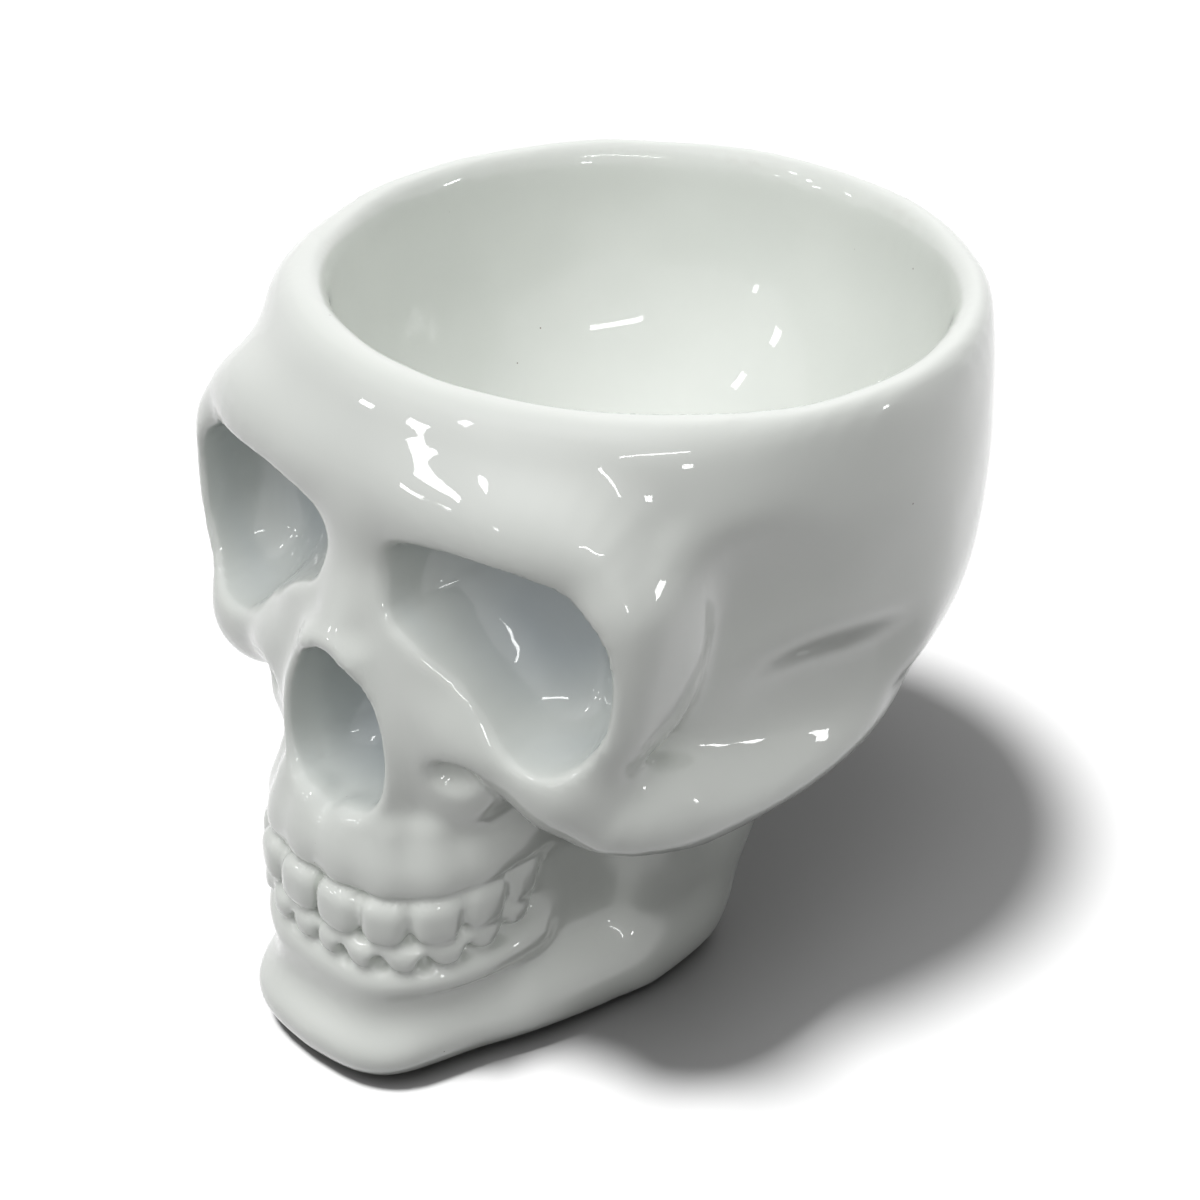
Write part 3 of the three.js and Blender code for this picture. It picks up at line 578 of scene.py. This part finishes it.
def surface_nets(field, axes):
    """Points and quads of the surface where a field crosses zero."""
    inside = field < 0
    corners = [(i, j, k) for i in (0, 1) for j in (0, 1) for k in (0, 1)]
    size = [n - 1 for n in field.shape]
    count = 0
    for i, j, k in corners:
        count = count + inside[i:size[0] + i, j:size[1] + j, k:size[2] + k].astype(np.int8)
    cells = np.nonzero((count > 0) & (count < 8))
    ids = np.full(size, -1)
    ids[cells] = np.arange(len(cells[0]))
    values = [field[cells[0] + i, cells[1] + j, cells[2] + k].astype(float) for i, j, k in corners]
    total, crossings = np.zeros((len(cells[0]), 3)), np.zeros(len(cells[0]))
    for a, p in enumerate(corners):
        for b, q in enumerate(corners[a + 1:], a + 1):
            if sum(abs(s - t) for s, t in zip(p, q)) != 1:
                continue
            crosses = (values[a] < 0) != (values[b] < 0)
            t = values[a] / np.where(crosses, values[a] - values[b], 1)
            total[crosses] += np.array(p) + t[crosses, None] * (np.array(q) - p)
            crossings[crosses] += 1
    shares = total / crossings[:, None]
    places = [axis[c] + share * (axis[c + 1] - axis[c]) for axis, c, share in zip(axes, cells, shares.T)]
    points = np.stack(places, 1)
    quads = []
    for n in range(3):
        u, v = (n + 1) % 3, (n + 2) % 3
        behind = [slice(1, -1)] * 3
        ahead = list(behind)
        behind[n], ahead[n] = slice(None, -1), slice(1, None)
        first, second = inside[tuple(behind)], inside[tuple(ahead)]
        found = list(np.nonzero(first != second))
        flipped = ~first[tuple(found)]
        found[u], found[v] = found[u] + 1, found[v] + 1
        ring = []
        for du, dv in ((1, 1), (0, 1), (0, 0), (1, 0)):
            at = list(found)
            at[u], at[v] = at[u] - du, at[v] - dv
            ring.append(ids[tuple(at)])
        ring = np.stack(ring, 1)
        ring[flipped] = ring[flipped][:, ::-1]
        quads.append(ring)
    return points, np.concatenate(quads)


def sampled(field, axes, points):
    """The field between its grid's points."""
    cells, shares = [], []
    for n, axis in enumerate(axes):
        cell = np.clip(np.searchsorted(axis, points[:, n]) - 1, 0, len(axis) - 2)
        cells.append(cell)
        shares.append((points[:, n] - axis[cell]) / (axis[cell + 1] - axis[cell]))
    value = 0
    for i in (0, 1):
        for j in (0, 1):
            for k in (0, 1):
                weight = np.prod([s if c else 1 - s for s, c in zip(shares, (i, j, k))], 0)
                value = value + weight * field[cells[0] + i, cells[1] + j, cells[2] + k]
    return value


def evened(points, quads, field, axes, rounds=4, share=0.5, step=0.4, least_slope=0.5):
    """Moves each point towards its neighbours and back onto the surface."""
    pairs = np.concatenate([quads[:, [a, (a + 1) % 4]] for a in range(4)])
    starts, ends = np.concatenate([pairs, pairs[:, ::-1]]).T
    count = len(points)
    near = np.bincount(starts, minlength=count)
    for _ in range(rounds):
        total = np.stack([np.bincount(starts, points[ends, n], count) for n in range(3)], 1)
        points = points + share * (total / near[:, None] - points)
        value = sampled(field, axes, points)
        rises = []
        for way in step * np.eye(3):
            rises.append(sampled(field, axes, points + way) - sampled(field, axes, points - way))
        slope = np.stack(rises, 1) / 2 / step
        steep = np.maximum((slope ** 2).sum(1), least_slope ** 2)
        points = points - np.clip(value / steep, -step, step)[:, None] * slope
    return points


def piece(name, points, faces, material, body, slot, *nodes):
    """A mesh object from points in millimetres, riding on a body in place of CAD nodes."""
    mesh = bpy.data.meshes.new(name)
    mesh.from_pydata((points * MM).tolist(), [], faces.tolist() if hasattr(faces, "tolist") else faces)
    mesh.validate()
    mesh.shade_smooth()
    mesh.materials.append(material)
    obj = bpy.data.objects.new(name, mesh)
    bpy.context.collection.objects.link(obj)
    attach(obj, body)
    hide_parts(*nodes)
    return obj


def turned(profile, centre, loose=0, parts=96):
    """Points and faces of a form turned about the vertical.

    Its profile is pairs of radius and height, of which the first and last are on the axis.
    """
    chance = np.random.default_rng(3)
    points, faces = [(*centre, profile[0][1])], []
    turns = np.arange(parts) / parts * 2 * math.pi
    for radius, height in profile[1:-1]:
        out = radius + loose * chance.uniform(-1, 1, parts)
        ring = (centre[0] + out * np.cos(turns), centre[1] + out * np.sin(turns), np.full(parts, height))
        points += list(zip(*ring))
    points.append((*centre, profile[-1][1]))
    last = len(points) - 1
    for a in range(parts):
        b = (a + 1) % parts
        faces.append((0, 1 + b, 1 + a))
        faces.append((last, last - parts + a, last - parts + b))
        for row in range(len(profile) - 3):
            low, high = 1 + row * parts, 1 + (row + 1) * parts
            faces.append((low + a, low + b, high + b, high + a))
    return np.array(points), faces


def store(obj, name, values):
    """A value for each point of a mesh, for its material to read."""
    obj.data.attributes.new(name, "FLOAT", "POINT").data.foreach_set("value", values.astype(np.float32))


# Materials

def node(tree, kind, links=None, **settings):
    """Adds a node with its settings, and links its named inputs to other nodes' outputs."""
    made = tree.nodes.new(kind)
    for name, value in settings.items():
        setattr(made, name, value)
    for name, value in (links or {}).items():
        if isinstance(value, bpy.types.NodeSocket):
            tree.links.new(value, made.inputs[name])
        else:
            made.inputs[name].default_value = value
    return made


def new_material(name):
    material = bpy.data.materials.new(name)
    material.use_nodes = True
    material.node_tree.nodes.clear()
    return material, material.node_tree


def glazed_earthenware():
    """White earthenware: slip cast in plaster, sponged, dipped in clear gloss glaze and fired.

    The glaze mirrors lamps sharply over a pale matt body, shows a few iron specks,
    is thin and brownish where it drew back from the bowl's edge, and is wiped off the foot.
    The sockets and nose hollow carry painted shade, a blue-grey tint that deepens with depth, partly pooled
    glaze.
    The foot's grain is too fine to show, so it is drawn coarser.
    """
    material, tree = new_material("glazed_earthenware")
    where = node(tree, "ShaderNodeTexCoord").outputs["Object"]
    pooled = node(tree, "ShaderNodeTexNoise", {"Vector": where, "Scale": 1 / (22 * MM), "Detail": 3.0})
    body = node(tree, "ShaderNodeMixRGB", {
        "Fac": pooled.outputs["Fac"], "Color1": srgb("#E0E4DF"), "Color2": srgb("#E9ECE7")})
    # Painted shade: a blue-grey tint in the pits, partly pooled glaze, strongest where a pit is deepest
    pit_shade = node(tree, "ShaderNodeAttribute", attribute_name="pooled_glaze_and_shade")
    deep = node(tree, "ShaderNodeMixRGB", {
        "Fac": pit_shade.outputs["Fac"], "Color1": body.outputs["Color"], "Color2": srgb("#B9C2C7")})
    thin = node(tree, "ShaderNodeAttribute", attribute_name="thin_glaze")
    drawn = node(tree, "ShaderNodeMixRGB", {
        "Fac": thin.outputs["Fac"], "Color1": deep.outputs["Color"], "Color2": srgb("#A79C90")})
    cells = node(tree, "ShaderNodeTexVoronoi", {"Vector": where, "Scale": 1 / (7.5 * MM)})
    speck = node(tree, "ShaderNodeMapRange", {
        "Value": cells.outputs["Distance"],
        "From Min": 0.012, "From Max": 0.026, "To Min": 1.0, "To Max": 0.0})
    specked = node(tree, "ShaderNodeMixRGB", {
        "Fac": speck.outputs["Result"], "Color1": drawn.outputs["Color"], "Color2": srgb("#77695C")})
    ripple = node(tree, "ShaderNodeTexNoise", {"Vector": where, "Scale": 1 / (5 * MM), "Detail": 1.0})
    bump = node(tree, "ShaderNodeBump", {
        "Strength": 0.05, "Distance": 0.2 * MM, "Height": ripple.outputs["Fac"]})
    glazed = node(tree, "ShaderNodeBsdfPrincipled", {
        "Base Color": specked.outputs["Color"], "Roughness": 0.4, "IOR": 1.5, "Coat Weight": 1.0,
        "Coat Roughness": 0.03, "Coat IOR": 1.52, "Coat Normal": bump.outputs["Normal"]})
    grain = node(tree, "ShaderNodeTexNoise", {"Vector": where, "Scale": 1 / (0.5 * MM), "Detail": 4.0})
    pitted = node(tree, "ShaderNodeBump", {
        "Strength": 0.4, "Distance": 0.1 * MM, "Height": grain.outputs["Fac"]})
    wiped = node(tree, "ShaderNodeBsdfPrincipled", {
        "Base Color": srgb("#D9D0C3"), "Roughness": 0.85, "Normal": pitted.outputs["Normal"]})
    foot = node(tree, "ShaderNodeAttribute", attribute_name="wiped_foot")
    mixed = node(tree, "ShaderNodeMixShader", {"Fac": foot.outputs["Fac"]})
    tree.links.new(glazed.outputs["BSDF"], mixed.inputs[1])
    tree.links.new(wiped.outputs["BSDF"], mixed.inputs[2])
    node(tree, "ShaderNodeOutputMaterial", {"Surface": mixed.outputs["Shader"]})
    return material


def moulded_silicone():
    """Clear-grey silicone rubber, pressed in a blasted mould: soft, matt and a little milky.

    The blasted grain is too fine to show, so it is drawn coarser.
    """
    material, tree = new_material("moulded_silicone")
    where = node(tree, "ShaderNodeTexCoord").outputs["Object"]
    dust = node(tree, "ShaderNodeTexNoise", {"Vector": where, "Scale": 1 / (3 * MM), "Detail": 3.0})
    milk = node(tree, "ShaderNodeMixRGB", {
        "Fac": dust.outputs["Fac"], "Color1": srgb("#B2B1AD"), "Color2": srgb("#C2C1BE")})
    blasted = node(tree, "ShaderNodeTexNoise", {"Vector": where, "Scale": 1 / (0.15 * MM), "Detail": 1.0})
    bump = node(tree, "ShaderNodeBump", {
        "Strength": 0.3, "Distance": 0.03 * MM, "Height": blasted.outputs["Fac"]})
    shader = node(tree, "ShaderNodeBsdfPrincipled", {
        "Base Color": milk.outputs["Color"], "Roughness": 0.52, "IOR": 1.41,
        "Subsurface Weight": 0.4, "Subsurface Radius": (2 * MM, 2 * MM, 2 * MM), "Subsurface Scale": 1.0,
        "Normal": bump.outputs["Normal"]})
    node(tree, "ShaderNodeOutputMaterial", {"Surface": shader.outputs["BSDF"]})
    return material


def pressed_felt():
    """Grey wool felt, pressed and punched out as discs: dull, with loose fibres that catch the light.

    The fibres are too fine to show, so they are drawn about ten times as coarse.
    """
    material, tree = new_material("pressed_felt")
    where = node(tree, "ShaderNodeTexCoord").outputs["Object"]
    fibre = node(tree, "ShaderNodeTexNoise", {
        "Vector": where, "Scale": 1 / (0.35 * MM), "Detail": 6.0, "Distortion": 2.0})
    wool = node(tree, "ShaderNodeMixRGB", {
        "Fac": fibre.outputs["Fac"], "Color1": srgb("#716E6A"), "Color2": srgb("#A29F9A")})
    bump = node(tree, "ShaderNodeBump", {
        "Strength": 0.7, "Distance": 0.12 * MM, "Height": fibre.outputs["Fac"]})
    shader = node(tree, "ShaderNodeBsdfPrincipled", {
        "Base Color": wool.outputs["Color"], "Roughness": 0.95, "Specular IOR Level": 0.2,
        "Sheen Weight": 0.4, "Sheen Roughness": 0.5, "Normal": bump.outputs["Normal"]})
    node(tree, "ShaderNodeOutputMaterial", {"Surface": shader.outputs["BSDF"]})
    return material


# The casting

clay = skull_clay()
without_pits = clay.field.copy()
sockets_and_nose(clay)
with_pits = clay.field.copy()
teeth(clay)
rim_and_bowl(clay)
hand_finish(clay)
base(clay)
full_field = np.concatenate([clay.field[:0:-1], clay.field])
full_axes = [np.concatenate([-clay.axes[0][:0:-1], clay.axes[0]]), *clay.axes[1:]]
points, quads = surface_nets(full_field, full_axes)
points = evened(points, quads, full_field, full_axes)
glaze = glazed_earthenware()
skull_points = points + (0, frame_shift, 0)
casting = piece(
    "skull_casting", skull_points, quads, glaze, "skull", "shell_glaze", "skull_shell", "bowl_liner")

edge = np.hypot(points[:, 0] / bowl_half_width, (points[:, 1] - bowl_setback) / bowl_half_length)
off_edge = np.hypot((edge - thin_glaze_ring) * bowl_half_width, points[:, 2] - rim_height + thin_glaze_drop)
store(casting, "thin_glaze", thin_glaze_share * np.clip(1 - off_edge / thin_glaze_reach, 0, 1))

# Painted shade in the sockets and nose hollow, partly pooled glaze: the tint grows with how far a point is
# sunk in a pit
on_one_side = np.column_stack([np.abs(points[:, 0]), points[:, 1:]])
off_pit = sampled(with_pits, clay.axes, on_one_side)
sunk = off_pit - sampled(without_pits, clay.axes, on_one_side)
in_a_pit = np.clip((pooled_shade_reach - np.abs(off_pit)) / pooled_shade_edge, 0, 1)
store(casting, "pooled_glaze_and_shade", pooled_shade_share * in_a_pit * np.clip(sunk / pooled_shade_depth, 0, 1))
store(casting, "wiped_foot", np.clip((base_height + wiped_height - points[:, 2]) / wiped_edge, 0, 1))


# The stopper and the pads: profiles are pairs of radius and height

stopper_profile = (
    (0, 2.15), (5.5, 2.15), (6.2, 2.0), (6.8, 1.75), (8, 1.7), (10.2, 1.7), (10.6, 1.95), (10.7, 2.3),
    (10.7, 2.7), (10.45, 2.95), (10, 3.0), (8.2, 3.0), (7.75, 3.25), (7.6, 3.8), (7.6, 4.4), (7.8, 4.8),
    (7.8, 5.2), (7.55, 5.6), (7.45, 7.4), (7.65, 7.8), (7.65, 8.2), (7.4, 8.6), (7.1, 11.7), (6.7, 12),
    (0, 11.8),
)
silicone = moulded_silicone()
stopper_middle = ((stopper_low.x + stopper_high.x) / 2 / MM, (stopper_low.y + stopper_high.y) / 2 / MM)
stopper = turned(stopper_profile, stopper_middle)
piece("soft_stopper", *stopper, silicone, "stopper", "stopper_silicone", "vent_stopper")

pad_profile = (
    (0, 0), (3.3, 0), (3.7, 0.08), (3.93, 0.28), (3.97, 0.6), (3.93, 0.92), (3.75, 1.14), (3.4, 1.2),
    (3.35, 1.24), (3.35, 1.5), (0, 1.5),
)
felt = pressed_felt()
for number in (1, 2, 3, 4):
    pad_low, pad_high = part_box(f"foot_pad_{number}")
    pad_middle = ((pad_low.x + pad_high.x) / 2 / MM, (pad_low.y + pad_high.y) / 2 / MM)
    pad = turned(pad_profile, pad_middle, loose=0.03)
    piece(f"felt_pad_{number}", *pad, felt, "skull", "pad_felt", f"foot_pad_{number}")


# Studio

# The camera: its turn to the skull's left, its height and its roll in degrees
camera_azimuth = 38.4
camera_elevation = 32.9
camera_distance = 380 * MM
camera_roll = 3.4
camera_target = (-4.4 * MM, frame_shift * MM, 54.5 * MM)
camera_lens = 63.3
# The softboxes face a point over the frame's middle.
lamp_distance = 1.0
lamp_aim_height = 0.06
# Each softbox: turn from the camera, height above the floor in degrees, width, height, brightness
softboxes = (
    ("left_pane_low", -64, 14, 0.07, 0.05, 14.0),
    ("left_pane_middle", -62, 27, 0.06, 0.09, 14.0),
    ("left_pane_high", -56, 47, 0.06, 0.12, 14.0),
    ("far_left_pane", -79, 20, 0.06, 0.06, 14.0),
    ("front_strip", 20, 33, 0.4, 0.035, 14.0),
    ("front_pane", 30, 13, 0.07, 0.08, 14.0),
    ("right_pane", 83, 12, 0.07, 0.1, 14.0),
    ("low_pane", -43, 18, 0.05, 0.05, 14.0),
)
# Each side of the room that sends soft light: turn, height, strength, focus
room_glows = (
    (-45, 72, 4.6, 14.0),
    (30, 58, 0.75, 14.0),
    (-60, 34, 0.95, 14.0),
    (165, 34, 4.2, 14.0),
)
# The floor, and the lamp that lights it alone and leaves the skull's shadow on it
floor_half_width = 3
shadow_lamp_from = (-0.16, -0.28, 0.95)
shadow_lamp_angle = 10
shadow_lamp_strength = 10.5


def camera_at(azimuth, elevation, distance, roll, target, lens):
    a, e, r = (math.radians(v) for v in (azimuth, elevation, roll))
    back = np.array([math.sin(a) * math.cos(e), -math.cos(a) * math.cos(e), math.sin(e)])
    right = np.cross(-back, (0, 0, 1))
    right /= np.linalg.norm(right)
    up = np.cross(right, -back)
    right, up = right * math.cos(r) + up * math.sin(r), up * math.cos(r) - right * math.sin(r)
    data = bpy.data.cameras.new("camera")
    data.lens = lens
    data.clip_start = 0.01
    camera = bpy.data.objects.new("camera", data)
    bpy.context.collection.objects.link(camera)
    matrix = np.eye(4)
    matrix[:3, 0], matrix[:3, 1], matrix[:3, 2] = right, up, back
    matrix[:3, 3] = np.array(target) + distance * back
    camera.matrix_world = Matrix(matrix.tolist())
    bpy.context.scene.camera = camera


def toward_camera(azimuth, elevation):
    """A direction from its turn to the right of the camera's side and its height, in degrees."""
    a, e = math.radians(camera_azimuth + azimuth), math.radians(elevation)
    return np.array([math.sin(a) * math.cos(e), -math.cos(a) * math.cos(e), math.sin(e)])


def softbox(name, azimuth, elevation, width, height, radiance, receivers):
    """A flat lamp with its width and height in metres."""
    data = bpy.data.lights.new(name, "AREA")
    data.shape, data.size, data.size_y = "RECTANGLE", width, height
    data.energy = radiance * math.pi * width * height
    lamp = bpy.data.objects.new(name, data)
    bpy.context.collection.objects.link(lamp)
    back = toward_camera(azimuth, elevation)
    lamp.location = Vector(back.tolist()) * lamp_distance + Vector((0, 0, lamp_aim_height))
    lamp.rotation_euler = Vector(back.tolist()).to_track_quat("Z", "Y").to_euler()
    lamp.light_linking.receiver_collection = receivers


def white_card(tree, diffuse, seen):
    """Seen directly or in a gloss it is one shader, and for the light it sends on it is another."""
    path = node(tree, "ShaderNodeLightPath").outputs
    looked = path["Is Camera Ray"]
    for other in ("Is Glossy Ray", "Is Transmission Ray"):
        looked = node(tree, "ShaderNodeMath", {0: looked, 1: path[other]}, operation="MAXIMUM").outputs[0]
    mixed = node(tree, "ShaderNodeMixShader", {"Fac": looked})
    tree.links.new(diffuse, mixed.inputs[1])
    tree.links.new(seen, mixed.inputs[2])
    return mixed.outputs["Shader"]


def studio():
    """A white floor with one soft shadow, and softboxes that light the skull alone."""
    skull_side = bpy.data.collections.new("lit_by_softboxes")
    for obj in list(bpy.context.collection.objects):
        if obj.type == "MESH":
            skull_side.objects.link(obj)
    for name, *values in softboxes:
        softbox(name, *values, skull_side)

    mesh = bpy.data.meshes.new("studio_floor")
    half = floor_half_width
    corners = [(-half, -half, 0), (half, -half, 0), (half, half, 0), (-half, half, 0)]
    mesh.from_pydata(corners, [], [(0, 1, 2, 3)])
    material, tree = new_material("white_studio_paper")
    # The lamp brings the grey paper up to white, and the skull gets little light back from it.
    paper = node(tree, "ShaderNodeBsdfDiffuse", {"Color": srgb("#8F8F8F")})
    dull = node(tree, "ShaderNodeBsdfDiffuse", {"Color": srgb("#262626")})
    card = white_card(tree, dull.outputs["BSDF"], paper.outputs["BSDF"])
    node(tree, "ShaderNodeOutputMaterial", {"Surface": card})
    mesh.materials.append(material)
    floor = bpy.data.objects.new("studio_floor", mesh)
    bpy.context.collection.objects.link(floor)

    floor_side = bpy.data.collections.new("lit_by_the_shadow_lamp")
    floor_side.objects.link(floor)
    data = bpy.data.lights.new("shadow_lamp", "SUN")
    data.energy, data.angle = shadow_lamp_strength, math.radians(shadow_lamp_angle)
    lamp = bpy.data.objects.new("shadow_lamp", data)
    bpy.context.collection.objects.link(lamp)
    lamp.rotation_euler = Vector(shadow_lamp_from).to_track_quat("Z", "Y").to_euler()
    lamp.light_linking.receiver_collection = floor_side

    world = bpy.data.worlds.new("white_room")
    bpy.context.scene.world = world
    world.use_nodes = True
    world.node_tree.nodes.clear()
    tree = world.node_tree
    way = node(tree, "ShaderNodeTexCoord").outputs["Generated"]
    total = None
    for azimuth, elevation, strength, focus in room_glows:
        towards = toward_camera(azimuth, elevation).tolist()
        facing = node(tree, "ShaderNodeVectorMath", {0: way, 1: towards}, operation="DOT_PRODUCT")
        ahead = facing.outputs["Value"]
        near = node(tree, "ShaderNodeMath", {0: ahead, 1: 0.0}, operation="MAXIMUM").outputs[0]
        lobe = node(tree, "ShaderNodeMath", {0: near, 1: focus}, operation="POWER").outputs[0]
        part = node(tree, "ShaderNodeMath", {0: lobe, 1: strength}, operation="MULTIPLY").outputs[0]
        total = node(tree, "ShaderNodeMath", {0: part, 1: total or 0.0}, operation="ADD").outputs[0]
    room = node(tree, "ShaderNodeBackground", {"Color": srgb("#FFFFFF"), "Strength": total})
    white = node(tree, "ShaderNodeBackground", {"Color": srgb("#FFFFFF"), "Strength": 1.0})
    card = white_card(tree, room.outputs["Background"], white.outputs["Background"])
    node(tree, "ShaderNodeOutputWorld", {"Surface": card})


studio()
camera_at(camera_azimuth, camera_elevation, camera_distance, camera_roll, camera_target, camera_lens)
bpy.context.scene.view_settings.view_transform = "Standard"
